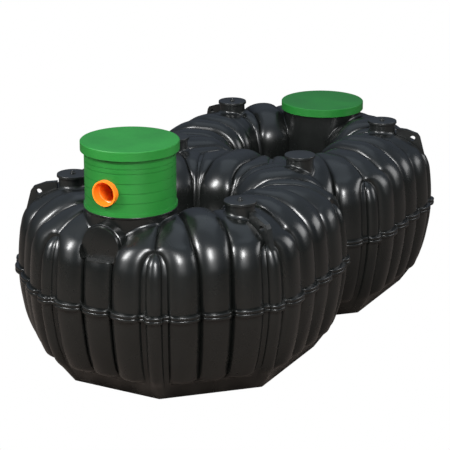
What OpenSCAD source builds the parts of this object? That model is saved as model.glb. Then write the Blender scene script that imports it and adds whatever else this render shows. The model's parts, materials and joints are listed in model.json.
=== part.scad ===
// Buried septic tank in black moulded plastic: two long ribbed octagonal lobes joined at a
// waist, each made as a lower and an upper shell, with manhole necks, a green riser with an
// orange inlet socket, green lids, capped stubs and lifting lugs.
// Origin: middle of the base. +X runs from the inlet end to the outlet end, +Z is up.
// The inlet end is built, and the outlet end is its mirror image.

/* [Lobes] */
// Distance from the middle to each lobe's centre
lobe_offset = 846; // [800:1:900]
// How much longer than a regular octagon each lobe is
lobe_stretch = 240; // [120:1:300]
// Reach of the wall's rib valleys from the lobe's centre, across the flats
wall_reach = 1075; // [1050:1:1300]
// How far the flat base's edge lies in from the wall
base_in = 215; // [115:1:355]
// How much further the base reaches towards the tank's long sides
base_side_reach = 38; // [0:1:60]
// Height of the seam between the lower and the upper shells
seam_z = 695; // [560:1:840]
// Height of the crown's rib valleys above the seam
crown_h = 567; // [545:1:595]
// How far the ring-shaped crown lies in from the wall
crown_in = 335; // [315:1:365]
// Depth of the funnel in the lobe's middle, below the crown
funnel_depth = 402; // [302:1:462]
// How far the edge of the funnel's floor lies in from the crown
funnel_in = 395; // [350:1:410]
// Thickness of the shells
shell_t = 10; // [6:1:14]
// Depth of the ribs
rib_depth = 65; // [40:1:80]
// How far the corners stand out from the rib valleys
corner_depth = 14; // [0:1:24]

/* [Seam flange] */
// How far each lip stands out from the wall
lip_reach = 28; // [10:1:40]
// Height of each lip
lip_h = 26; // [16:1:34]

/* [Manholes] */
// Radius of the manhole
manhole_r = 290; // [240:1:300]
// How far the neck's shoulder stands out past a riser's wall
neck_ledge = 6; // [0:1:9]
// Height of that shoulder above the crown
neck_h = 75; // [58:1:180]
// Height of the spigot above that shoulder
spigot_h = 40; // [20:1:45]
// Thickness of the spigot's wall
spigot_t = 14; // [8:1:20]

/* [Pads] */
// Radius of the round pad on each end
pad_r = 150; // [120:1:156]
// How far the pad's middle lies below the crown
pad_drop = 131; // [122:1:137]
// How far the ledge that cuts off the pad's foot lies below its middle
pad_ledge = 81; // [51:1:101]
// How far the pad's face stands out from the wall's rib valleys
pad_out = 79; // [65:1:90]
// Thickness of the pad
pad_t = 15; // [8:1:20]

/* [Riser] */
// Clearance between the neck's spigot and the riser
riser_clear = 6; // [2:1:12]
// Thickness of the riser's wall
riser_t = 14; // [8:1:18]
// Height of the riser alone
riser_h = 457; // [380:1:560]
// How far the riser's foot stands out
foot_out = 8; // [2:1:12]
// Height of the riser's foot
foot_h = 22; // [10:1:40]
// Depth of the grooves round the riser
groove_depth = 4; // [2:0.5:6]
// Height of each groove
groove_h = 8; // [4:1:14]

/* [Lids] */
// Clearance between a riser's wall and a lid's rim
lid_clear = 16; // [13:1:60]
// Height of a lid's rim
lid_h = 66; // [50:1:90]
// Thickness of a lid's top plate
lid_plate_t = 12; // [6:1:20]
// Thickness of a lid's rim
lid_rim_t = 10; // [6:1:14]
// Rounding of a lid's top edge
lid_edge = 5; // [2:0.5:8]

/* [Inlet] */
// Inner radius of the inlet socket's mouth
socket_bore_r = 80.5; // [77:0.5:86]
// Thickness of the socket's wall
socket_t = 11.5; // [7:0.5:18]
// How far the stop behind the mouth stands in
socket_stop = 5.5; // [3:0.5:20]
// Depth of the socket's mouth
socket_depth = 66; // [50:1:90]
// Length of the socket
socket_length = 250; // [120:1:256]
// Height of the inlet's axis above the riser's foot
inlet_h = 170; // [123:1:243]
// How far the socket stands out from the riser
socket_out = 32; // [20:1:60]

/* [Stubs] */
// How far out from the crown's reach the corner stubs stand
stub_out = 20; // [0:1:40]
// How far in from the waist's wall the waist stubs stand
waist_stub_in = 237.28; // [214:0.01:254]
// Radius of a stub
stub_r = 106; // [80:1:110]
// How far a cap stands out past its stub
cap_out = 13; // [6:1:22]
// Height of the top of the stub caps above the crown
cap_rise = 117; // [108:1:180]
// Thickness of a stub's cap
cap_t = 22; // [14:1:30]
// Radius of the knob on a corner cap
knob_r = 16; // [10:1:24]
// Height of that knob
knob_h = 22; // [12:1:30]

/* [Lifting lugs] */
// Thickness of a lifting lug
lug_t = 40; // [20:1:50]
// Radius of the hole in a lug
lug_hole_r = 22; // [12:1:24]
// How far in from the wall that hole lies
lug_hole_in = 60; // [50:1:65]
// How far below the crown that hole lies
lug_hole_drop = 28; // [22:1:37]

/* [Hidden] */

black = [0.12, 0.13, 0.13];
green = [0.17, 0.52, 0.21];
orange = [0.95, 0.48, 0.12];

LEFT = 1;
RIGHT = -1;
far = 4000;
corner_turn = 67.5;

end_shift = lobe_stretch / 2;
base_reach = wall_reach - base_in;
crown_z = seam_z + crown_h;
crown_reach = wall_reach - crown_in;
funnel_z = crown_z - funnel_depth;
funnel_reach = crown_reach - funnel_in;
neck_offset = crown_reach;
neck_top_z = crown_z + neck_h;
spigot_r = manhole_r + spigot_t;
riser_r = spigot_r + riser_clear + riser_t;
neck_r = riser_r + neck_ledge;
lid_r = riser_r + lid_clear + lid_rim_t;
inlet_z = neck_top_z + inlet_h;
socket_r = socket_bore_r + socket_t;
pipe_bore_r = socket_bore_r - socket_stop;
pad_z = crown_z - pad_drop;
pad_ledge_z = pad_z - pad_ledge;
pad_reach = wall_reach + pad_out;
stub_offset = crown_reach + stub_out;
waist_y = wall_reach * sqrt(2) - (lobe_offset - end_shift);
waist_stub_y = waist_y - waist_stub_in;
cap_r = stub_r + cap_out;
cap_top_z = crown_z + cap_rise;
lug_hole_offset = wall_reach - lug_hole_in;
lug_hole_z = crown_z - lug_hole_drop;
riser_top_z = neck_top_z + riser_h;
front_lid_top_z = riser_top_z + lid_edge + lid_plate_t;
rear_lid_top_z = neck_top_z + spigot_h + lid_edge + lid_plate_t;
groove_places = [0.21, 0.365, 0.52, 0.675, 0.75, 0.84];
lip_clear = 8;
wall_foot_z = 0.72 * seam_z;
pad_wall_t = 8;
boss_l = 120;
pad_space_l = 200;

// Each row of a shell: [reach, height, centre rib's half-width, outer edge of the side rib,
// depth of the centre rib, of the side ribs and of the corners, extra reach of the tank's
// long sides, how far the valleys beside the corners are filled]. Widths are shares of the
// reach, and a corner stands at a share of 0.414.
function shoulder(out, down) =
    [crown_reach + out * (wall_reach - crown_reach), crown_z - down * (crown_z - seam_z)];
function throat(out, down) =
    [funnel_reach + out * (crown_reach - funnel_reach), crown_z - down * (crown_z - funnel_z)];
function foot(out, up) =
    [base_reach + out * (wall_reach - base_reach), up * wall_foot_z];

upper_rows = [
    [wall_reach, seam_z, 0.107, 0.321, 1, 1, 1, 0, 0],
    [wall_reach, seam_z + lip_h + lip_clear, 0.107, 0.321, 1, 1, 1, 0, 0],
    concat(shoulder(0.945, 0.500), [0.109, 0.322, 1, 1, 1, 0, 0]),
    concat(shoulder(0.872, 0.350), [0.116, 0.332, 1, 1, 0.9, 0, 0]),
    concat(shoulder(0.776, 0.250), [0.124, 0.356, 0.98, 0.85, 0.5, 0, -0.10]),
    concat(shoulder(0.657, 0.180), [0.137, 0.403, 0.95, 0.60, 0, 0, -0.35]),
    concat(shoulder(0.328, 0.053), [0.155, 0.400, 0.93, 0.35, 0, 0, -0.20]),
    [crown_reach, crown_z, 0.175, 0.395, 0.93, 0.25, 0, 0, 0.08],
    concat(throat(0.646, 0.015), [0.205, 0.390, 0.92, 0.27, 0, 0, 0.18]),
    concat(throat(0.342, 0.142), [0.250, 0.390, 0.88, 0.28, 0, 0, 0.22]),
    concat(throat(0.127, 0.390), [0.340, 0.400, 0.75, 0.05, 0, 0, 0]),
    [funnel_reach, funnel_z, 0.340, 0.400, 0, 0, 0, 0, 0]
];
lower_rows = [
    [wall_reach, seam_z, 0.107, 0.321, 1, 1, 1, 0, 0],
    [wall_reach, seam_z - lip_h - lip_clear, 0.107, 0.321, 1, 1, 1, 0, 0],
    concat(foot(0.86, 0.80), [0.107, 0.321, 1, 1, 1, 0, 0]),
    concat(foot(0.60, 0.43), [0.107, 0.321, 0.92, 0.92, 1, 0.3 * base_side_reach, 0]),
    concat(foot(0.37, 0.25), [0.107, 0.321, 0, 0, 0.4, 0.7 * base_side_reach, 0]),
    [base_reach, 0, 0.107, 0.321, 0, 0, 0, base_side_reach, 0]
];

// Across a rib: [place, share of its depth], up to the next valley
rib_section = [[0, 0], [0.2, 1], [0.8, 1]];

// The long faces have four ribs and the others three. A face's columns of points are
// [face, rib, place across the rib, share of its depth], and its first one is a corner.
CORNER = -1;
function is_long(face) = face % 4 == 2;
function ribs_on(face) = is_long(face) ? 4 : 3;
columns = [for (face = [0:7]) each concat(
    [[face, CORNER, 0, 0]],
    [for (rib = [0:ribs_on(face) - 1]) for (c = rib_section) [face, rib, c[0], c[1]]],
    [[face, ribs_on(face), 0, 0]]
)];
COLUMNS = len(columns);
FACE_START = [for (face = [0:7]) search(face, [for (c = columns) c[0]])[0]];

function stretch_shift(face) = [1, 1, 0, -1, -1, -1, 0, 1][face] * end_shift;
function face_reach(row, face) = row[0] + (is_long(face) ? row[7] : 0);

// Where a rib begins across its face
function rib_edge(row, face, rib) =
    is_long(face) ? (rib / 2 - 1) * (row[3] * row[0] + end_shift)
                  : [-row[3], -row[2], row[2], row[3]][rib] * row[0];

function rib_place(row, column) =
    let (from = rib_edge(row, column[0], column[1]))
    column[2] == 0 ? from
        : from + column[2] * (rib_edge(row, column[0], column[1] + 1) - from);

// How far a column stands out from the rib valleys
function lift(row, column) =
    let (
        inner_rib = is_long(column[0]) ? column[1] == 1 || column[1] == 2 : column[1] == 1,
        beside_corner = column[2] == 0 && (column[1] == 0 || column[1] == ribs_on(column[0]))
    )
    column[1] == CORNER ? rib_depth * row[8] + corner_depth * row[6]
        : beside_corner ? rib_depth * row[8]
        : rib_depth * column[3] * (inner_rib ? row[4] : row[5]);

// Outward direction of the profile at a row, in reach and height
function row_normal(rows, i, up) =
    i == 0 ? [1, 0]
    : i == len(rows) - 1 ? (up ? [-0.7, 0.7] : [0, -1])
    : let (d = [rows[i + 1][0] - rows[i - 1][0], rows[i + 1][1] - rows[i - 1][1]])
      (up ? [d[1], -d[0]] : [-d[1], d[0]]) / norm(d);

// A point of a lobe's skin, with +X towards the tank's end
function skin_point(rows, i, c, up, inset) =
    let (
        row = rows[i],
        column = columns[c % COLUMNS],
        face = column[0],
        turn = 45 * face,
        n = row_normal(rows, i, up),
        out = lift(row, column) - inset,
        reach = face_reach(row, face) + n[0] * out,
        before = face_reach(row, (face + 7) % 8) + n[0] * out,
        across = column[1] == CORNER
            ? (reach * cos(45) - before) / sin(45) - (is_long(face) ? end_shift : 0)
            : rib_place(row, column)
    )
    [
        reach * cos(turn) - across * sin(turn) + stretch_shift(face),
        reach * sin(turn) + across * cos(turn),
        row[1] + n[1] * out
    ];

function skin_ring(rows, i, up, inset) =
    [for (c = [0:COLUMNS - 1]) skin_point(rows, i, c, up, inset)];

function ring_band(a, b, flip) =
    [for (c = [0:COLUMNS - 1]) let (n = (c + 1) % COLUMNS) each (
        flip ? [[a + c, b + n, a + n], [a + c, b + c, b + n]]
             : [[a + c, a + n, b + n], [a + c, b + n, b + c]]
    )];

function ring_bands(first, count, flip) =
    [for (i = [0:count - 2])
        each ring_band(first + i * COLUMNS, first + (i + 1) * COLUMNS, flip)];

function ring_fan(a, tip, flip) =
    [for (c = [0:COLUMNS - 1]) let (n = (c + 1) % COLUMNS)
        flip ? [a + n, a + c, tip] : [a + c, a + n, tip]];

// One lobe's shell. Its inside leaves out some rows, where the skin bends little.
module lobe(rows, up, left_out) {
    last = len(rows) - 1;
    inner_rows = [for (i = [0:last]) if (len(search(i, left_out)) == 0) i];
    outer = [for (i = [0:last]) each skin_ring(rows, i, up, 0)];
    inner = [for (i = inner_rows) each skin_ring(rows, i, up, shell_t)];
    outer_tip = len(outer) + len(inner);
    tip_z = rows[last][1];
    polyhedron(
        points = concat(outer, inner,
            [[0, 0, tip_z], [0, 0, tip_z + (up ? -shell_t : shell_t)]]),
        faces = concat(
            ring_bands(0, last + 1, up),
            ring_bands(len(outer), len(inner_rows), !up),
            ring_band(0, len(outer), !up),
            ring_fan(last * COLUMNS, outer_tip, !up),
            ring_fan(outer_tip - COLUMNS, outer_tip + 1, up)
        )
    );
}

// The solid under a patch of the upper skin, which cuts what stands on the skin to fit it
module under_skin(rows, column, count) {
    wide = count;
    deep = rows[1] - rows[0] + 1;
    total = wide * deep;
    top = [for (i = [rows[0]:rows[1]]) for (c = [column:column + count - 1])
        skin_point(upper_rows, i, c, true, 0)];
    edge = concat(
        [for (c = [0:wide - 2]) c],
        [for (i = [0:deep - 2]) i * wide + wide - 1],
        [for (c = [wide - 1:-1:1]) (deep - 1) * wide + c],
        [for (i = [deep - 1:-1:1]) i * wide]
    );
    polyhedron(
        points = concat(top, [for (p = top) [p[0], p[1], seam_z]]),
        faces = concat(
            [for (i = [0:deep - 2]) for (c = [0:wide - 2]) let (a = i * wide + c, b = a + wide)
                each [[a, b + 1, a + 1], [a, b, b + 1]]],
            [for (k = [0:len(edge) - 1]) let (a = edge[k], b = edge[(k + 1) % len(edge)])
                [a, b, b + total, a + total]],
            [[for (e = edge) e + total]]
        )
    );
}

// Places its children at the front lobe's centre, with +X towards the tank's end
module at_lobe() {
    translate([-lobe_offset, 0, 0]) mirror([1, 0, 0]) children();
}

// Places its children at a corner of the front lobe's end, with +X pointing outwards
module at_corner(side) {
    at_lobe() translate([end_shift, 0, 0]) rotate(side * corner_turn) children();
}

module at_neck() {
    translate([-lobe_offset - neck_offset, 0, 0]) children();
}

module front_half() {
    intersection() {
        children();
        translate([-far, -far / 2, -far / 2]) cube(far);
    }
}

module to_rear() {
    mirror([1, 0, 0]) children();
}

module manhole() {
    at_neck() translate([0, 0, seam_z]) cylinder(r = manhole_r, h = far);
}

module lower_shell() {
    color(black) front_half() at_lobe() lobe(lower_rows, false, [1]);
}

module upper_shell() {
    color(black) difference() {
        front_half() at_lobe() lobe(upper_rows, true, [1, 3, 6]);
        manhole();
        at_pad() pad_plug(pad_r + pad_wall_t, pad_wall_t, pad_space_l);
    }
}

// Outline of the front lobe at the seam, stood out by the given reach
module seam_outline(out) {
    translate([-lobe_offset, 0]) mirror([1, 0])
        polygon([for (p = skin_ring(upper_rows, 0, true, -out)) [p[0], p[1]]]);
}

module flange(z) {
    color(black) translate([0, 0, z]) linear_extrude(lip_h) intersection() {
        difference() {
            seam_outline(lip_reach);
            seam_outline(0);
        }
        translate([-far, -far / 2]) square(far);
    }
}

module neck() {
    color(black) difference() {
        at_neck() translate([0, 0, funnel_z]) {
            cylinder(r = neck_r, h = neck_top_z - funnel_z);
            cylinder(r = spigot_r, h = neck_top_z + spigot_h - funnel_z);
        }
        manhole();
        at_lobe() under_skin([3, 11], FACE_START[7] + 6, 22);
    }
}

module at_pad() {
    at_lobe() translate([pad_reach - pad_t, 0, pad_z]) rotate([0, 90, 0]) children();
}

// The end's part of the upper skin, with all that lies under it
module under_end() {
    at_lobe() under_skin([1, 8], COLUMNS, 12);
}

// A round plug, cut off flat below
module pad_plug(r, floor_t, h) {
    linear_extrude(h) intersection() {
        circle(r = r);
        translate([pad_z - pad_ledge_z + floor_t - far, -far / 2]) square(far);
    }
}

// The pad is the flat end of a boss, sunk into the ribs below and standing clear of them above
module pad() {
    color(black) difference() {
        union() {
            intersection() {
                at_pad() pad_plug(pad_r + pad_wall_t, pad_wall_t, pad_space_l);
                under_end();
            }
            at_pad() translate([0, 0, -boss_l]) pad_plug(pad_r, 0, boss_l + pad_t);
        }
        at_pad() translate([0, 0, pad_t]) pad_plug(pad_r, 0, pad_space_l);
        intersection() {
            under_end();
            at_pad() translate([0, 0, -2 * boss_l]) cylinder(r = 2 * pad_r, h = 2 * boss_l);
        }
        at_neck() cylinder(r = neck_r, h = far);
    }
}

module riser() {
    color(green) difference() {
        at_neck() translate([0, 0, neck_top_z]) rotate_extrude() riser_profile();
        at_neck() translate([0, 0, inlet_z]) rotate([0, -90, 0])
            cylinder(r = socket_r, h = 2 * riser_r);
    }
}

module riser_profile() {
    difference() {
        union() {
            translate([riser_r - riser_t, 0]) square([riser_t, riser_h]);
            translate([riser_r, 0]) square([foot_out, foot_h]);
        }
        for (place = groove_places)
            translate([riser_r - groove_depth, place * riser_h - groove_h / 2])
                square([groove_depth + foot_out, groove_h]);
    }
}

module inlet_socket() {
    color(orange) at_neck() translate([-riser_r - socket_out, 0, inlet_z])
        rotate([0, 90, 0]) rotate_extrude() polygon([
            [socket_bore_r, 0], [socket_r, 0], [socket_r, socket_length],
            [pipe_bore_r, socket_length], [pipe_bore_r, socket_depth + 4],
            [socket_bore_r, socket_depth]
        ]);
}

module lid() {
    color(green) rotate_extrude() polygon([
        [0, 0], [lid_r - lid_edge, 0], [lid_r, -lid_edge], [lid_r, -lid_h],
        [lid_r - lid_rim_t, -lid_h], [lid_r - lid_rim_t, -lid_plate_t - lid_edge],
        [0, -lid_plate_t - lid_edge]
    ]);
}

module front_lid() {
    at_neck() translate([0, 0, front_lid_top_z]) lid();
}

module rear_lid() {
    to_rear() at_neck() translate([0, 0, rear_lid_top_z]) lid();
}

module corner_stub(side) {
    color(black) difference() {
        at_corner(side) translate([stub_offset, 0, seam_z + lip_h])
            cylinder(r = stub_r, h = cap_top_z - cap_t - seam_z - lip_h);
        at_lobe() under_skin([5, 9], FACE_START[side == LEFT ? 2 : 7] - 4, 9);
    }
}

module corner_cap(side) {
    color(black) at_corner(side) translate([stub_offset, 0, cap_top_z - cap_t]) {
        cylinder(r = cap_r, h = cap_t);
        cylinder(r = knob_r, h = cap_t + knob_h);
    }
}

module waist_stub(side) {
    color(black) difference() {
        translate([0, side * waist_stub_y, seam_z + lip_h])
            cylinder(r = stub_r, h = cap_top_z - cap_t - seam_z - lip_h);
        for (turn = [0, 1]) mirror([turn, 0, 0]) front_half() at_lobe()
            under_skin([4, 7], FACE_START[side == LEFT ? 3 : 5], 12);
    }
}

module waist_cap(side) {
    color(black) translate([0, side * waist_stub_y, cap_top_z - cap_t])
        cylinder(r = cap_r, h = cap_t);
}

// A lug is a plate in the plane of the corner, from the cap out to the edge of the shoulder
module lug(side) {
    outline = [
        [cap_r + stub_offset, lug_hole_z - 120], [cap_r + stub_offset, lug_hole_z + 82],
        [lug_hole_offset - 50, lug_hole_z + 72], [lug_hole_offset + 42, lug_hole_z + 38],
        [lug_hole_offset + 62, lug_hole_z + 10], [lug_hole_offset + 104, lug_hole_z - 145],
        [lug_hole_offset + 78, lug_hole_z - 170], [lug_hole_offset - 15, lug_hole_z - 180]
    ];
    color(black) difference() {
        at_corner(side) rotate([90, 0, 0]) translate([0, 0, -lug_t / 2])
            linear_extrude(lug_t) difference() {
                polygon(outline);
                translate([lug_hole_offset, lug_hole_z]) circle(r = lug_hole_r);
            }
        at_lobe() under_skin([2, 7], FACE_START[side == LEFT ? 2 : 7] - 2, 5);
        at_corner(side) translate([stub_offset, 0, 0]) cylinder(r = cap_r, h = far);
    }
}

module front_lower_shell() { lower_shell(); }
module rear_lower_shell() { to_rear() lower_shell(); }
module front_upper_shell() { upper_shell(); }
module rear_upper_shell() { to_rear() upper_shell(); }
module front_lower_flange() { flange(seam_z - lip_h); }
module rear_lower_flange() { to_rear() flange(seam_z - lip_h); }
module front_upper_flange() { flange(seam_z); }
module rear_upper_flange() { to_rear() flange(seam_z); }
module front_neck() { neck(); }
module rear_neck() { to_rear() neck(); }
module front_pad() { pad(); }
module rear_pad() { to_rear() pad(); }
module front_left_stub() { corner_stub(LEFT); }
module front_right_stub() { corner_stub(RIGHT); }
module rear_left_stub() { to_rear() corner_stub(LEFT); }
module rear_right_stub() { to_rear() corner_stub(RIGHT); }
module front_left_cap() { corner_cap(LEFT); }
module front_right_cap() { corner_cap(RIGHT); }
module rear_left_cap() { to_rear() corner_cap(LEFT); }
module rear_right_cap() { to_rear() corner_cap(RIGHT); }
module waist_left_stub() { waist_stub(LEFT); }
module waist_right_stub() { waist_stub(RIGHT); }
module waist_left_cap() { waist_cap(LEFT); }
module waist_right_cap() { waist_cap(RIGHT); }
module front_left_lug() { lug(LEFT); }
module front_right_lug() { lug(RIGHT); }
module rear_left_lug() { to_rear() lug(LEFT); }
module rear_right_lug() { to_rear() lug(RIGHT); }

front_lower_shell();
rear_lower_shell();
front_upper_shell();
rear_upper_shell();
front_lower_flange();
rear_lower_flange();
front_upper_flange();
rear_upper_flange();
front_neck();
rear_neck();
riser();
front_lid();
rear_lid();
inlet_socket();
front_pad();
rear_pad();
front_left_stub();
front_right_stub();
rear_left_stub();
rear_right_stub();
front_left_cap();
front_right_cap();
rear_left_cap();
rear_right_cap();
waist_left_stub();
waist_right_stub();
waist_left_cap();
waist_right_cap();
front_left_lug();
front_right_lug();
rear_left_lug();
rear_right_lug();
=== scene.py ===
# Buried septic tank: two ribbed lobes in glossy black moulded plastic joined at a waist,
# with a green riser and lids, an orange inlet socket, capped stubs and lifting lugs.
import json
import math

import bmesh
import bpy
import numpy as np
from mathutils import Matrix, Vector
from mathutils.bvhtree import BVHTree


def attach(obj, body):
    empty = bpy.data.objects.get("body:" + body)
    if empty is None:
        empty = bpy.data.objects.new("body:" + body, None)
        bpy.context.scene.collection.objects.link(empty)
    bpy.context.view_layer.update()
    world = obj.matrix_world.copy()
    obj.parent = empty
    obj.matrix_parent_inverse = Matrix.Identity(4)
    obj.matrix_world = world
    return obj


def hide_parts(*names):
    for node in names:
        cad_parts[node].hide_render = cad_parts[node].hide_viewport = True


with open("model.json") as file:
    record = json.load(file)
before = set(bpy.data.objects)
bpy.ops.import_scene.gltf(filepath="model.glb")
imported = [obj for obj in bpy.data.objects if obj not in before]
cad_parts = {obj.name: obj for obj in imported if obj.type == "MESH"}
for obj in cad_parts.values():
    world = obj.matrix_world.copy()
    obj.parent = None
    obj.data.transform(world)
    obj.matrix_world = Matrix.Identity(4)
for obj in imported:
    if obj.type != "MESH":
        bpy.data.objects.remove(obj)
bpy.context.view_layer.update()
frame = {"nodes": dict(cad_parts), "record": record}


# ---------------------------------------------------------------- materials

def new_material(name):
    material = bpy.data.materials.new(name)
    material.use_nodes = True
    tree = material.node_tree
    return material, tree, tree.nodes["Principled BSDF"]


def link(tree, source, output, target, socket):
    tree.links.new(source.outputs[output], target.inputs[socket])


def noise(tree, scale, detail, roughness=0.55):
    """A noise texture in the object's own coordinates, in metres."""
    place = tree.nodes.new("ShaderNodeTexCoord")
    texture = tree.nodes.new("ShaderNodeTexNoise")
    texture.inputs["Scale"].default_value = scale
    texture.inputs["Detail"].default_value = detail
    texture.inputs["Roughness"].default_value = roughness
    link(tree, place, "Object", texture, "Vector")
    return texture


def ramp(tree, texture, stops, output="Fac"):
    """A colour ramp over a texture. Stops are (place, rgb)."""
    node = tree.nodes.new("ShaderNodeValToRGB")
    band = node.color_ramp
    while len(band.elements) < len(stops):
        band.elements.new(0.5)
    for element, (place, colour) in zip(band.elements, stops):
        element.position = place
        element.color = (*colour, 1.0)
    link(tree, texture, output, node, "Fac")
    return node


NOISE_MIDDLE = (0.3, 0.7)


def spread(tree, texture, low, high):
    """Maps a noise texture's middle range to low..high."""
    node = tree.nodes.new("ShaderNodeMapRange")
    node.inputs["From Min"].default_value, node.inputs["From Max"].default_value = NOISE_MIDDLE
    node.inputs["To Min"].default_value = low
    node.inputs["To Max"].default_value = high
    link(tree, texture, "Fac", node, "Value")
    return node


def bump(tree, principled, layers):
    """Stacks bumps. Layers are (texture, distance in metres)."""
    last = None
    for texture, distance in layers:
        node = tree.nodes.new("ShaderNodeBump")
        node.inputs["Distance"].default_value = distance
        node.inputs["Strength"].default_value = 1.0
        link(tree, texture, "Fac", node, "Height")
        if last is not None:
            link(tree, last, "Normal", node, "Normal")
        last = node
    link(tree, last, "Normal", principled, "Normal")


# How each kind of plastic is moulded: scales of the broad cloud and the fine grain, how dark the
# cloud gets, how far the roughness goes below and above its middle, and the heights in metres.
BLACK_FINISH = {"cloud": 2.2, "grain": 900.0, "dark": 0.72, "below": 0.04, "above": 0.06,
                "cloud_height": 0.0008, "grain_height": 0.00002}
COLOUR_FINISH = {"cloud": 3.5, "grain": 700.0, "dark": 0.82, "below": 0.05, "above": 0.06,
                 "cloud_height": 0.0012, "grain_height": 0.00008}
BLACK_IOR = 1.52


def moulded(name, base, rough, finish):
    material, tree, principled = new_material(name)
    cloud = noise(tree, finish["cloud"], 5.0)
    grain = noise(tree, finish["grain"], 2.0, 0.6)
    dark = tuple(finish["dark"] * c for c in base)
    start, stop = NOISE_MIDDLE
    link(tree, ramp(tree, cloud, [(start, dark), (stop, base)]), "Color",
         principled, "Base Color")
    link(tree, spread(tree, cloud, rough - finish["below"], rough + finish["above"]), "Result",
         principled, "Roughness")
    bump(tree, principled, [(cloud, finish["cloud_height"]), (grain, finish["grain_height"])])
    if finish is BLACK_FINISH:
        principled.inputs["IOR"].default_value = BLACK_IOR
    return material


MATERIALS = {
    "shell_plastic": moulded("shell_black", (0.006, 0.0068, 0.0062), 0.27, BLACK_FINISH),
    "fitting_plastic": moulded("fitting_black", (0.009, 0.010, 0.0095), 0.32, BLACK_FINISH),
    "green_plastic": moulded("moulded_green", (0.011, 0.16, 0.020), 0.42, COLOUR_FINISH),
    "orange_plastic": moulded("drain_orange", (0.95, 0.21, 0.012), 0.34, COLOUR_FINISH),
}

for row in frame["record"]["subparts"]:
    node = frame["nodes"][row["node"]]
    node.data.materials.clear()
    node.data.materials.append(MATERIALS[row["material_slot"]])


# ---------------------------------------------------------------- sizes

# All in metres, and the same as the CAD's.

LOBE_OFFSET = 0.846
END_SHIFT = 0.120
WALL_REACH = 1.075
BASE_REACH = 0.860
BASE_SIDE_REACH = 0.038
SEAM_Z = 0.695
CROWN_Z = 1.262
CROWN_REACH = 0.740
FUNNEL_Z = 0.860
FUNNEL_REACH = 0.345
SHELL_T = 0.010
RIB_DEPTH = 0.065
CORNER_DEPTH = 0.026
LIP_REACH = 0.028
LIP_H = 0.026
NECK_OFFSET = 0.740
NECK_X = LOBE_OFFSET + NECK_OFFSET
MANHOLE_R = 0.290
NECK_R = 0.330
NECK_TOP_Z = 1.337
SPIGOT_H = 0.040
SPIGOT_WALL = 0.014
STUB_OFFSET = 0.760
STUB_R = 0.106
CAP_R = 0.119
CAP_TOP_Z = 1.379
CAP_T = 0.022
WAIST_STUB_Y = 0.557
STUB_TURN = math.radians(67.5)
PAD_REACH = 1.154
PAD_X = LOBE_OFFSET + PAD_REACH
PAD_Z = 1.131
PAD_R = 0.150
PAD_LEDGE_Z = 1.050
SEAM_BAND = 0.034
FOOT_SHARE = 0.72

# Each row of a shell: reach, height, centre rib's half-width and side rib's outer edge as shares
# of the reach, depths of the centre rib, the side ribs and the corners as shares of their full
# depth, extra reach of the long sides, and how far the valleys beside the corners are filled.
# From shoulder to funnel, the outer edges, the side ribs' depths and the filling were set to the
# photograph, and are not the CAD's.
REACH, HEIGHT, INNER, OUTER, CENTRE_DEPTH, SIDE_DEPTH, CORNER_SHARE, LONG_EXTRA, FILL = range(9)


def shoulder(out, down, *rest):
    return (CROWN_REACH + out * (WALL_REACH - CROWN_REACH),
            CROWN_Z - down * (CROWN_Z - SEAM_Z), *rest)


def throat(out, down, *rest):
    return (FUNNEL_REACH + out * (CROWN_REACH - FUNNEL_REACH),
            CROWN_Z - down * (CROWN_Z - FUNNEL_Z), *rest)


def foot(out, up, *rest):
    return (BASE_REACH + out * (WALL_REACH - BASE_REACH), up * FOOT_SHARE * SEAM_Z, *rest)


UPPER_ROWS = [
    (WALL_REACH, SEAM_Z, 0.107, 0.321, 1, 1, 1, 0, 0),
    (WALL_REACH, SEAM_Z + SEAM_BAND, 0.107, 0.321, 1, 1, 1, 0, 0),
    shoulder(0.945, 0.500, 0.109, 0.322, 1, 1, 1, 0, 0),
    shoulder(0.872, 0.350, 0.116, 0.332, 1, 1, 0.9, 0, 0),
    shoulder(0.776, 0.250, 0.124, 0.360, 0.98, 0.87, 0.5, 0, -0.10),
    shoulder(0.657, 0.180, 0.137, 0.413, 0.95, 0.68, 0, 0, -0.35),
    shoulder(0.328, 0.053, 0.155, 0.412, 0.93, 0.50, 0, 0, -0.20),
    (CROWN_REACH, CROWN_Z, 0.175, 0.400, 0.93, 0.42, 0, 0, 0.04),
    throat(0.646, 0.015, 0.205, 0.390, 0.92, 0.42, 0, 0, 0.12),
    throat(0.342, 0.142, 0.250, 0.392, 0.88, 0.40, 0, 0, 0.18),
    throat(0.127, 0.390, 0.340, 0.410, 0.75, 0.05, 0, 0, 0),
    (FUNNEL_REACH, FUNNEL_Z, 0.340, 0.400, 0, 0, 0, 0, 0),
]
LOWER_ROWS = [
    (WALL_REACH, SEAM_Z, 0.107, 0.321, 1, 1, 1, 0, 0),
    (WALL_REACH, SEAM_Z - SEAM_BAND, 0.107, 0.321, 1, 1, 1, 0, 0),
    foot(0.86, 0.80, 0.107, 0.321, 1, 1, 1, 0, 0),
    foot(0.60, 0.43, 0.107, 0.321, 0.92, 0.92, 1, 0.3 * BASE_SIDE_REACH, 0),
    foot(0.37, 0.25, 0.107, 0.321, 0, 0, 0.4, 0.7 * BASE_SIDE_REACH, 0),
    (BASE_REACH, 0, 0.107, 0.321, 0, 0, 0, BASE_SIDE_REACH, 0),
]


# ---------------------------------------------------------------- the ribbed skin

def slopes(x, y):
    """Slopes of a monotone cubic through the points."""
    step = np.diff(x)
    rise = np.diff(y) / step
    slope = np.zeros(len(x))
    for k in range(1, len(x) - 1):
        if rise[k - 1] * rise[k] > 0:
            w1, w2 = 2 * step[k] + step[k - 1], step[k] + 2 * step[k - 1]
            slope[k] = (w1 + w2) / (w1 / rise[k - 1] + w2 / rise[k])
    slope[0], slope[-1] = rise[0], rise[-1]
    return slope


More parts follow.
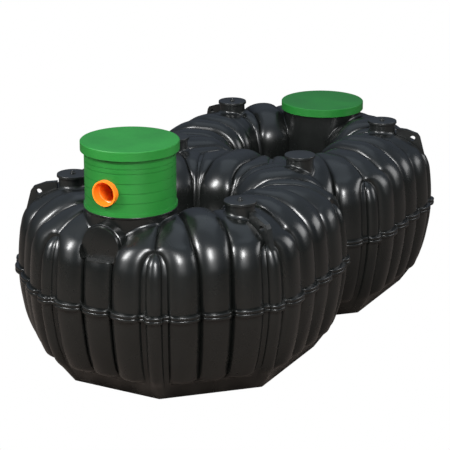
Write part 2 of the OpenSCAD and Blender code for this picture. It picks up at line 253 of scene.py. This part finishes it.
def cubic(x, y, at):
    """The monotone cubic through the points, at other places."""
    slope = slopes(x, y)
    k = np.clip(np.searchsorted(x, at) - 1, 0, len(x) - 2)
    step = x[k + 1] - x[k]
    t = (at - x[k]) / step
    return ((1 + 2 * t) * (1 - t) ** 2 * y[k] + t * (1 - t) ** 2 * step * slope[k]
            + t * t * (3 - 2 * t) * y[k + 1] + t * t * (t - 1) * step * slope[k + 1])


def fine_rows(rows, count):
    """The rows' profile as a smooth curve of evenly spaced rows."""
    rows = np.array(rows, float)
    steps = np.hypot(np.diff(rows[:, REACH]), np.diff(rows[:, HEIGHT]))
    length = np.r_[0, np.cumsum(steps)]
    at = np.linspace(0, length[-1], count)
    return np.stack([cubic(length, column, at) for column in rows.T], -1)


RIB_ROUNDNESS = 2.1
CORNER_FOOT = 0.62    # where a corner's rib ends, as a share of the way to the valley
RIB_STEPS = 14
WELD = 1e-6
SMOOTHING = 0.3       # how far each column is drawn to the middle of its neighbours


def rib_shape(u):
    """Height of a rib's rounded section across it, from valley to valley."""
    return (1 - np.abs(2 * u - 1) ** RIB_ROUNDNESS) ** 0.5


def corner_shape(u):
    """Height of a corner's narrow rib, from the corner to the valley beside it."""
    return math.sqrt(max(0.0, 1 - (u / CORNER_FOOT) ** 2))


RIB_PLACES = 0.5 - 0.5 * np.cos(np.linspace(0, np.pi, RIB_STEPS + 1))[:-1]
CORNER_PLACES = np.array([0, 0.16, 0.31, 0.43, 0.52, 0.58, CORNER_FOOT, 0.70, 0.80, 0.90])


def is_long(face):
    """Whether a face is one of the two long ones at the tank's sides."""
    return face % 4 == 2


def face_columns(face):
    """(kind, rib, place) of the columns across a face, from one corner to the next."""
    ribs = 4 if is_long(face) else 3
    columns = [("left", 0, u) for u in CORNER_PLACES]
    for rib in range(ribs):
        columns += [("rib", rib, u) for u in RIB_PLACES]
    columns += [("right", 0, 1.0)]
    columns += [("right", 0, u) for u in CORNER_PLACES[:0:-1]]
    return columns


def skin_grid(rows, up, count, inset=0.0):
    """Points of one lobe's skin about its own centre, +X towards the tank's end."""
    rows = fine_rows(rows, count)
    across_reach, height = np.gradient(rows[:, REACH]), np.gradient(rows[:, HEIGHT])
    norm = np.hypot(across_reach, height)
    out_reach, out_z = (height / norm, -across_reach / norm) if up else \
        (-height / norm, across_reach / norm)
    shift = [1, 1, 0, -1, -1, -1, 0, 1]
    grid = []
    for face in range(8):
        long = is_long(face)
        turn = math.radians(45 * face)
        cos, sin = math.cos(turn), math.sin(turn)
        reach = rows[:, REACH] + (rows[:, LONG_EXTRA] if long else 0)

        def half(other):
            """Half the face's width, towards a neighbouring face."""
            beside = rows[:, REACH] + (rows[:, LONG_EXTRA] if is_long(other) else 0)
            root = math.sqrt(0.5)
            return (beside - reach * root) / root + (END_SHIFT if long else 0)

        left, right = half(face - 1), half(face + 1)
        outer = rows[:, OUTER] * rows[:, REACH] + (END_SHIFT if long else 0)
        side, centre = rows[:, SIDE_DEPTH], rows[:, CENTRE_DEPTH]
        if long:
            edges = [outer * s for s in (-1, -0.5, 0, 0.5, 1)]
            depths = [side, centre, centre, side]
        else:
            inner = rows[:, INNER] * rows[:, REACH]
            edges = [-outer, -inner, inner, outer]
            depths = [side, centre, side]
        for kind, rib, u in face_columns(face):
            if kind == "rib":
                across = edges[rib] + u * (edges[rib + 1] - edges[rib])
                beside_corner = (rib == 0 and u < 0.5) or (rib == len(depths) - 1 and u > 0.5)
                floor = rows[:, FILL] if beside_corner else 0 * rows[:, FILL]
                lift = RIB_DEPTH * (floor + (depths[rib] - floor) * rib_shape(u))
            else:
                across = -left + u * (left - outer) if kind == "left" \
                    else right - u * (right - outer)
                lift = RIB_DEPTH * rows[:, FILL] \
                    + CORNER_DEPTH * rows[:, CORNER_SHARE] * corner_shape(u)
            lift = lift - inset
            far = reach + out_reach * lift
            grid.append(np.stack([far * cos - across * sin + shift[face] * END_SHIFT,
                                  far * sin + across * cos,
                                  rows[:, HEIGHT] + out_z * lift], -1))
    grid = np.stack(grid, 1)
    beside = 0.5 * (np.roll(grid, 1, 1) + np.roll(grid, -1, 1))
    return (1 - SMOOTHING) * grid + SMOOTHING * beside


def new_piece(name, mesh, slot, body="tank"):
    """An object that rides on a body and wears a slot's material."""
    piece = bpy.data.objects.new(name, mesh)
    bpy.context.collection.objects.link(piece)
    mesh.materials.append(MATERIALS[slot])
    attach(piece, body)
    return piece


def both_ends(front_mesh):
    """A mesh at the front and its mirror image at the rear, as (end, mesh)."""
    rear_name = front_mesh.name.replace("front", "rear")
    return ("front", front_mesh), ("rear", mirrored(front_mesh, rear_name))


def grid_faces(rows, columns):
    """Faces between rows of points that run right round."""
    faces = []
    for i in range(rows - 1):
        for c in range(columns):
            n = (c + 1) % columns
            a = i * columns
            faces.append((a + c, a + n, a + columns + n, a + columns + c))
    return faces


def facing_out(mesh, weld=False):
    """The same mesh with its faces turned outwards and, if asked, equal points made one."""
    edit = bmesh.new()
    edit.from_mesh(mesh)
    if weld:
        bmesh.ops.remove_doubles(edit, verts=edit.verts, dist=WELD)
    bmesh.ops.recalc_face_normals(edit, faces=edit.faces)
    edit.to_mesh(mesh)
    edit.free()
    return mesh


# ---------------------------------------------------------------- shells

def shell_mesh(name, rows, up, outer_count, inner_count):
    """One whole lobe's shell as a closed mesh, at the front lobe's place."""
    outer = skin_grid(rows, up, outer_count)
    inner = skin_grid(rows, up, inner_count, SHELL_T)
    columns = outer.shape[1]
    tip = rows[-1][1]
    points = np.concatenate([outer.reshape(-1, 3), inner.reshape(-1, 3),
                             [[0, 0, tip], [0, 0, tip + (-SHELL_T if up else SHELL_T)]]])
    start = outer_count * columns
    faces = grid_faces(outer_count, columns)
    faces += [tuple(start + v for v in reversed(f)) for f in grid_faces(inner_count, columns)]
    last, inner_last = start - columns, start + (inner_count - 1) * columns
    for c in range(columns):
        n = (c + 1) % columns
        faces.append((c, start + c, start + n, n))
        faces.append((last + c, last + n, len(points) - 2))
        faces.append((inner_last + n, inner_last + c, len(points) - 1))
    points[:, 0] = -LOBE_OFFSET - points[:, 0]
    mesh = bpy.data.meshes.new(name)
    # mirroring X turns the faces over, and so does a shell whose rows run down
    mesh.from_pydata(points.tolist(), [], [tuple(reversed(f)) for f in faces] if up else faces)
    return mesh


def cylinder(place, radius, bottom, top, segments=96):
    """A closed upright cylinder as (points, faces)."""
    points = []
    for z in (bottom, top):
        for k in range(segments):
            a = 2 * math.pi * k / segments
            points.append((place[0] + radius * math.cos(a), place[1] + radius * math.sin(a), z))
    return points, ring_faces(segments)


def ring_faces(segments):
    """Faces of a solid between two rings of points."""
    faces = [(k, (k + 1) % segments, segments + (k + 1) % segments, segments + k)
             for k in range(segments)]
    faces.append(tuple(reversed(range(segments))))
    faces.append(tuple(segments + k for k in range(segments)))
    return faces


def cutter(name, *solids):
    """An object of several closed solids, each (points, faces)."""
    points, faces = [], []
    for some_points, some_faces in solids:
        base = len(points)
        points += some_points
        faces += [tuple(base + v for v in f) for f in some_faces]
    mesh = bpy.data.meshes.new(name)
    mesh.from_pydata(points, [], faces)
    piece = bpy.data.objects.new(name, facing_out(mesh))
    bpy.context.collection.objects.link(piece)
    return piece


def box_solid(low, high):
    x0, y0, z0 = low
    x1, y1, z1 = high
    points = [(x0, y0, z0), (x1, y0, z0), (x1, y1, z0), (x0, y1, z0),
              (x0, y0, z1), (x1, y0, z1), (x1, y1, z1), (x0, y1, z1)]
    faces = [(0, 3, 2, 1), (4, 5, 6, 7), (0, 1, 5, 4), (1, 2, 6, 5), (2, 3, 7, 6), (3, 0, 4, 7)]
    return points, faces


def carve(mesh, tool):
    """The mesh with the tool's solids cut away."""
    piece = bpy.data.objects.new("carved", mesh)
    bpy.context.collection.objects.link(piece)
    modifier = piece.modifiers.new("cut", "BOOLEAN")
    modifier.operation = "DIFFERENCE"
    modifier.solver = "EXACT"
    modifier.object = tool
    graph = bpy.context.evaluated_depsgraph_get()
    result = bpy.data.meshes.new_from_object(piece.evaluated_get(graph))
    result.name = mesh.name
    bpy.data.objects.remove(piece)
    return result


SHARP_ANGLE = math.radians(35.0)


def clean(mesh):
    """The same mesh, shaded smooth with sharp edges."""
    mesh.polygons.foreach_set("use_smooth", [True] * len(mesh.polygons))
    mesh.set_sharp_from_angle(angle=SHARP_ANGLE)
    return mesh


def mirrored(mesh, name):
    """A copy of a front piece's mesh for the rear."""
    copy = mesh.copy()
    copy.name = name
    copy.transform(Matrix.Scale(-1, 4, (1, 0, 0)))
    copy.flip_normals()
    return copy


# Covers all that is behind the middle of the waist.
BACK_HALF = box_solid((0.0, -2.0, -1.0), (3.0, 2.0, 3.0))


PAD_SEGMENTS = 160


def pad_outline(out):
    """A circle cut off flat below, as (y, z) a little further out than the pad."""
    radius, floor = PAD_R + out, PAD_LEDGE_Z - PAD_Z - out
    points = []
    for k in range(PAD_SEGMENTS):
        a = 2 * math.pi * k / PAD_SEGMENTS
        y, z = radius * math.sin(a), radius * math.cos(a)
        if z < floor:
            y, z = y * floor / z, floor
        points.append((y, PAD_Z + z))
    return points


MANHOLE_CUT_R = MANHOLE_R + 0.012
PAD_CUT_X = -PAD_X + 0.012
BEYOND_X = -3.0       # past the tank's end
ABOVE_Z = 2.5         # past its top
manhole = cylinder((-NECK_X, 0), MANHOLE_CUT_R, 0.80, ABOVE_Z)
pad_points = [(x, y, z) for x in (PAD_CUT_X, BEYOND_X) for y, z in pad_outline(0.004)]
upper_tool = cutter("upper_tool", BACK_HALF, manhole, (pad_points, ring_faces(PAD_SEGMENTS)))
lower_tool = cutter("lower_tool", BACK_HALF)

# part, its rows, whether they run up, how many fine rows outside and inside, and its cutter
SHELLS = (
    ("upper", UPPER_ROWS, True, 100, 50, upper_tool),
    ("lower", LOWER_ROWS, False, 60, 30, lower_tool),
)
shell_meshes = {}
for part, rows, up, outer_count, inner_count, tool in SHELLS:
    whole = shell_mesh("front_" + part + "_skin", rows, up, outer_count, inner_count)
    for end, mesh in both_ends(clean(carve(whole, tool))):
        shell_meshes[end, part] = mesh
for end in ("front", "rear"):
    for part in ("upper", "lower"):
        piece = new_piece(end + "_" + part + "_skin", shell_meshes[end, part], "shell_plastic")
        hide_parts(end + "_" + part + "_shell")


# ---------------------------------------------------------------- heights of the skin

SKIN_ROWS = 160
skin = skin_grid(UPPER_ROWS, True, SKIN_ROWS)
skin_columns = skin.shape[1]
skin_points = skin.reshape(-1, 3).copy()
skin_points[:, 0] = -LOBE_OFFSET - skin_points[:, 0]
floor_point = len(skin_points)
skin_points = np.vstack([skin_points, [[-LOBE_OFFSET, 0, FUNNEL_Z]]])
skin_faces = grid_faces(SKIN_ROWS, skin_columns)
last = (SKIN_ROWS - 1) * skin_columns
skin_faces += [(last + c, last + (c + 1) % skin_columns, floor_point)
               for c in range(skin_columns)]
skin_tree = BVHTree.FromPolygons([Vector(p) for p in skin_points], skin_faces)


def skin_z(x, y):
    """Height of the tank's outer skin above a place."""
    hit = skin_tree.ray_cast(Vector((-abs(x), y, 3.0)), Vector((0, 0, -1)))
    return hit[0].z if hit[0] is not None else SEAM_Z


# ---------------------------------------------------------------- round pieces

def rounded(points, radius, steps=4):
    """A path of (r, z) with its inner corners rounded."""
    path = [points[0]]
    for before, at, after in zip(points, points[1:], points[2:]):
        a, p, b = Vector(before), Vector(at), Vector(after)
        to_a, to_b = a - p, b - p
        cut = min(radius, 0.45 * to_a.length, 0.45 * to_b.length)
        start, stop = p + to_a.normalized() * cut, p + to_b.normalized() * cut
        for k in range(steps + 1):
            t = k / steps
            path.append(tuple((1 - t) ** 2 * start + 2 * t * (1 - t) * p + t * t * stop))
    path.append(points[-1])
    return path


def revolve(name, path, place, segments):
    """A closed solid turned about a vertical axis. The path runs from bottom to top outside,
    and its ends are on the axis."""
    points, faces = [], []
    count = len(path)
    for k in range(segments):
        a = 2 * math.pi * k / segments
        for r, z in path:
            points.append((place[0] + r * math.cos(a), place[1] + r * math.sin(a),
                           place[2] + z))
    for k in range(segments):
        n = (k + 1) % segments
        for i in range(count - 1):
            a, b = k * count + i, n * count + i
            faces.append((a, b, b + 1, a + 1))
    mesh = bpy.data.meshes.new(name)
    mesh.from_pydata(points, [], faces)
    return facing_out(mesh, weld=True)


FILLET_ARCS = [math.radians(a) for a in (15, 30, 45, 60, 75, 90)]
SUNK = 0.006          # how far a standing piece reaches into the skin


def standing(name, place, radius, fillet, upper_path, bore=0.0, segments=128):
    """A moulded stub or neck that grows out of the skin with a fillet. upper_path is (r, z)
    from the outside up to the top and in to the axis or down the bore. Where the skin is higher
    than the bore's last point, the bore's wall doubles back up to it."""
    points, faces = [], []
    for k in range(segments):
        a = 2 * math.pi * k / segments
        cos, sin = math.cos(a), math.sin(a)

        def at(r):
            return place[0] + r * cos, place[1] + r * sin

        low = skin_z(*at(max(bore, radius - 0.02))) - SUNK
        column = [(bore, low if bore else skin_z(*place) - SUNK),
                  (radius, skin_z(*at(radius)) - SUNK),
                  (radius + fillet, skin_z(*at(radius + fillet)) - 0.5 * SUNK)]
        for arc in FILLET_ARCS:
            out = fillet * (1 - math.sin(arc))
            column.append((radius + out,
                           skin_z(*at(radius + out)) + fillet * (1 - math.cos(arc))))
        column += upper_path
        points += [(*at(r), z) for r, z in column]
    count = len(column)
    for k in range(segments):
        n = (k + 1) % segments
        for i in range(count if bore else count - 1):
            j = (i + 1) % count
            faces.append((k * count + i, n * count + i, n * count + j, k * count + j))
    mesh = bpy.data.meshes.new(name)
    mesh.from_pydata(points, [], faces)
    return clean(facing_out(mesh, weld=True))


neck_path = rounded([
    (NECK_R, 1.25), (NECK_R - 0.003, NECK_TOP_Z - 0.016), (NECK_R + 0.004, NECK_TOP_Z - 0.012),
    (NECK_R + 0.004, NECK_TOP_Z), (MANHOLE_R + SPIGOT_WALL, NECK_TOP_Z),
    (MANHOLE_R + SPIGOT_WALL, NECK_TOP_Z + SPIGOT_H), (MANHOLE_R, NECK_TOP_Z + SPIGOT_H),
    (MANHOLE_R, 0.95)], 0.003, 3)
neck_mesh = standing("front_neck_shown", (-NECK_X, 0.0), NECK_R, 0.016, neck_path,
                     bore=MANHOLE_R, segments=160)
for end, mesh in both_ends(neck_mesh):
    piece = new_piece(end + "_neck_shown", mesh, "shell_plastic")
    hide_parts(end + "_neck")

CORNER_X = -(LOBE_OFFSET + END_SHIFT + STUB_OFFSET * math.cos(STUB_TURN))
CORNER_Y = STUB_OFFSET * math.sin(STUB_TURN)
CAP_BOTTOM_Z = CAP_TOP_Z - CAP_T
STUB_FILLET = 0.022
stub_path = [(STUB_R, 1.30), (STUB_R, CAP_BOTTOM_Z), (0.0, CAP_BOTTOM_Z)]
cap_path = rounded([(0, CAP_BOTTOM_Z), (STUB_R + 0.004, CAP_BOTTOM_Z),
                    (CAP_R + 0.001, CAP_BOTTOM_Z + 0.001), (CAP_R - 0.001, CAP_TOP_Z),
                    (0, CAP_TOP_Z)], 0.004)
knob_path = rounded([(0, CAP_TOP_Z - 0.002), (0.022, CAP_TOP_Z - 0.002),
                     (0.021, CAP_TOP_Z + 0.008), (0.013, CAP_TOP_Z + 0.010),
                     (0.012, CAP_TOP_Z + 0.022), (0, CAP_TOP_Z + 0.022)], 0.003)


def joined(name, *meshes):
    """Several meshes as one."""
    points, faces = [], []
    for mesh in meshes:
        base = len(points)
        points += [tuple(v.co) for v in mesh.vertices]
        faces += [tuple(base + v for v in p.vertices) for p in mesh.polygons]
    mesh = bpy.data.meshes.new(name)
    mesh.from_pydata(points, [], faces)
    return clean(mesh)


def add_stub(name, place, knob):
    """A stub and its cap, with a knob on the cap or without."""
    stub = standing(name + "_stub_shown", place, STUB_R, STUB_FILLET, stub_path)
    piece = new_piece(name + "_stub_shown", stub, "fitting_plastic")
    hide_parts(name + "_stub")
    parts = [revolve("cap", cap_path, (*place, 0), 96)]
    if knob:
        parts.append(revolve("knob", knob_path, (*place, 0), 48))
    cap = joined(name + "_cap_shown", *parts)
    piece = new_piece(name + "_cap_shown", cap, "fitting_plastic")
    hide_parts(name + "_cap")


for end, x in (("front", CORNER_X), ("rear", -CORNER_X)):
    add_stub(end + "_left", (x, CORNER_Y), knob=True)
    add_stub(end + "_right", (x, -CORNER_Y), knob=True)
add_stub("waist_left", (0.0, WAIST_STUB_Y), knob=False)
add_stub("waist_right", (0.0, -WAIST_STUB_Y), knob=False)


# ---------------------------------------------------------------- pads

def skin_x(y, z):
    """How far out the tank's end is at a height."""
    hit = skin_tree.ray_cast(Vector((BEYOND_X, y, z)), Vector((1, 0, 0)))
    return hit[0].x if hit[0] is not None else -NECK_X


def pad_mesh(name):
    """The flat end of a boss that stands out of the end's ribs above and is sunk in below."""
    outlines = {out: pad_outline(out) for out in (-0.004, -0.0008, 0.0, 0.008, 0.012)}
    points, faces = [], []
    face = -PAD_X
    boss_back = face + 0.12
    for k in range(PAD_SEGMENTS):
        y, z = outlines[0.012][k]
        end = min(skin_x(y, z), boss_back)
        sunk = end < face
        back = face + SUNK if sunk else min(end + 0.02, boss_back)
        # (how far out the outline is, x), from the back to the face
        if sunk:
            path = [(0.008, back), (0.008, end + 0.004), (0.0, end + 0.001),
                    (0.0, end + 0.002), (0.0, 0.5 * (end + face)), (0.0, face + 0.001),
                    (-0.0008, face), (-0.004, face)]
        else:
            path = [(0.012, back), (0.012, face + 0.032), (0.008, face + 0.028),
                    (0.0, face + 0.027), (0.0, face + 0.010), (0.0, face + 0.004),
                    (-0.0008, face + 0.001), (-0.004, face)]
        for out, x in path:
            y, z = outlines[out][k]
            points.append((x, y, z))
    rows = len(path)
    for k in range(PAD_SEGMENTS):
        n = (k + 1) % PAD_SEGMENTS
        for i in range(rows - 1):
            faces.append((k * rows + i, n * rows + i, n * rows + i + 1, k * rows + i + 1))
    for row, x in ((0, face + 0.012), (rows - 1, face)):
        middle = len(points)
        points.append((x, 0.0, PAD_Z))
        for k in range(PAD_SEGMENTS):
            n = (k + 1) % PAD_SEGMENTS
            faces.append((middle, k * rows + row, n * rows + row))
    mesh = bpy.data.meshes.new(name)
    mesh.from_pydata(points, [], faces)
    return clean(facing_out(mesh))


for end, mesh in both_ends(pad_mesh("front_pad_shown")):
    piece = new_piece(end + "_pad_shown", mesh, "shell_plastic")
    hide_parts(end + "_pad")


# ---------------------------------------------------------------- seam flange

def flange_mesh(name, z, path):
    """A lip swept round the front lobe's wall. The path is (how far out, height)."""
    points = []
    for out, rise in path:
        outline = skin_grid(UPPER_ROWS[:2], True, 2, -out)[0]
        points += [(-LOBE_OFFSET - p[0], p[1], z + rise) for p in outline]
    count = len(outline)
    rows = len(path)
    faces = []
    for i in range(rows):
        j = (i + 1) % rows
        for c in range(count):
            n = (c + 1) % count
            faces.append((i * count + c, j * count + c, j * count + n, i * count + n))
    mesh = bpy.data.meshes.new(name)
    mesh.from_pydata(points, [], faces)
    return clean(carve(facing_out(mesh), lower_tool))


lip_path = rounded([(-0.004, 0.0005), (LIP_REACH, 0.0005), (LIP_REACH, LIP_H - 0.001),
                    (-0.004, LIP_H)], 0.008, 3)
for where, z in (("upper", SEAM_Z), ("lower", SEAM_Z - LIP_H)):
    path = lip_path if where == "upper" else [(r, LIP_H - h) for r, h in lip_path]
    front = flange_mesh("front_" + where + "_lip", z, path)
    for end, mesh in both_ends(front):
        piece = new_piece(end + "_" + where + "_lip", mesh, "shell_plastic")
        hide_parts(end + "_" + where + "_flange")

for tool in (upper_tool, lower_tool):
    bpy.data.objects.remove(tool)


# ---------------------------------------------------------------- studio

CAMERA_PLACE = Vector((-11.4707, -6.0808, 4.98906))
CAMERA_RIGHT = Vector((0.4742, -0.8804, 0.0)).normalized()
CAMERA_BACK = Vector((-0.83636, -0.45047, 0.31238)).normalized()
LENS = 137.33
SENSOR = 36.0

camera_data = bpy.data.cameras.new("camera")
camera_data.lens = LENS
camera_data.sensor_width = SENSOR
camera = bpy.data.objects.new("camera", camera_data)
bpy.context.collection.objects.link(camera)
up = CAMERA_BACK.cross(CAMERA_RIGHT)
turn = Matrix((CAMERA_RIGHT, up, CAMERA_BACK)).transposed().to_4x4()
camera.matrix_world = Matrix.Translation(CAMERA_PLACE) @ turn
bpy.context.scene.camera = camera


WHITE = (1.0, 1.0, 1.0, 1.0)
FLOOR_HALF = 60.0
FLOOR_SEEN_BY_LIGHT = (0.15, 0.12, 0.10, 1.0)


def white_to_camera(tree, other, white, target):
    """Shows the camera plain white, and everything else the other shader."""
    path = tree.nodes.new("ShaderNodeLightPath")
    mix = tree.nodes.new("ShaderNodeMixShader")
    tree.links.new(path.outputs["Is Camera Ray"], mix.inputs[0])
    tree.links.new(other.outputs[0], mix.inputs[1])
    tree.links.new(white.outputs[0], mix.inputs[2])
    tree.links.new(mix.outputs[0], target.inputs["Surface"])


def studio_floor():
    half = FLOOR_HALF
    mesh = bpy.data.meshes.new("floor")
    mesh.from_pydata([(-half, -half, 0), (half, -half, 0), (half, half, 0), (-half, half, 0)],
                     [], [(0, 1, 2, 3)])
    floor = bpy.data.objects.new("floor", mesh)
    bpy.context.collection.objects.link(floor)
    material, tree, principled = new_material("floor_white")
    principled.inputs["Roughness"].default_value = 0.9
    principled.inputs["Base Color"].default_value = FLOOR_SEEN_BY_LIGHT
    white = tree.nodes.new("ShaderNodeEmission")
    white.inputs["Color"].default_value = WHITE
    white_to_camera(tree, principled, white, tree.nodes["Material Output"])
    mesh.materials.append(material)


MIDDLE = Vector((0.0, 0.0, 1.0))

# name, (bearing, height) in degrees, distance, size, power in watts, colour
LIGHTS = (
    ("front_left_wall", (158, 30), 8.0, (3.6, 6.0), 110.0, (1.0, 1.0, 1.0)),
    ("front_right_wall", (220, 30), 8.0, (3.6, 6.0), 110.0, (1.0, 1.0, 1.0)),
    ("front_left_core", (152, 34), 7.8, (1.1, 3.0), 540.0, (1.0, 1.0, 1.0)),
    ("front_right_core", (216, 34), 7.8, (1.1, 3.0), 540.0, (1.0, 1.0, 1.0)),
    ("right_rim", (300, 22), 8.0, (5.0, 3.0), 220.0, (1.0, 1.0, 1.0)),
    ("overhead", (20, 75), 7.0, (6.0, 6.0), 60.0, (0.80, 0.90, 1.0)),
)


def area_light(name, direction, distance, size, power, colour):
    """A rectangular light that looks at the middle of the tank."""
    turn, rise = (math.radians(a) for a in direction)
    place = MIDDLE + distance * Vector((math.cos(rise) * math.cos(turn),
                                        math.cos(rise) * math.sin(turn), math.sin(rise)))
    data = bpy.data.lights.new(name, "AREA")
    data.shape = "RECTANGLE"
    data.size, data.size_y = size
    data.energy = power
    data.color = colour
    lamp = bpy.data.objects.new(name, data)
    bpy.context.collection.objects.link(lamp)
    lamp.location = place
    lamp.rotation_euler = (MIDDLE - place).to_track_quat("-Z", "Y").to_euler()


def studio_world():
    """A dim room that is darker below the horizon, behind a white backdrop."""
    world = bpy.data.worlds.new("studio")
    world.use_nodes = True
    tree = world.node_tree
    room = tree.nodes["Background"]
    room.inputs["Strength"].default_value = 1.0
    place = tree.nodes.new("ShaderNodeTexCoord")
    parts = tree.nodes.new("ShaderNodeSeparateXYZ")
    link(tree, place, "Generated", parts, "Vector")
    sky = ramp(tree, parts, [(0.0, (0.02, 0.02, 0.018)), (0.2, (0.12, 0.14, 0.18)),
                             (0.9, (0.30, 0.36, 0.45))], "Z")
    tree.links.new(sky.outputs["Color"], room.inputs["Color"])
    white = tree.nodes.new("ShaderNodeBackground")
    white.inputs["Color"].default_value = WHITE
    white.inputs["Strength"].default_value = 1.0
    white_to_camera(tree, room, white, tree.nodes["World Output"])
    bpy.context.scene.world = world


studio_floor()
studio_world()
for light in LIGHTS:
    area_light(*light)
bpy.context.scene.view_settings.view_transform = "Standard"
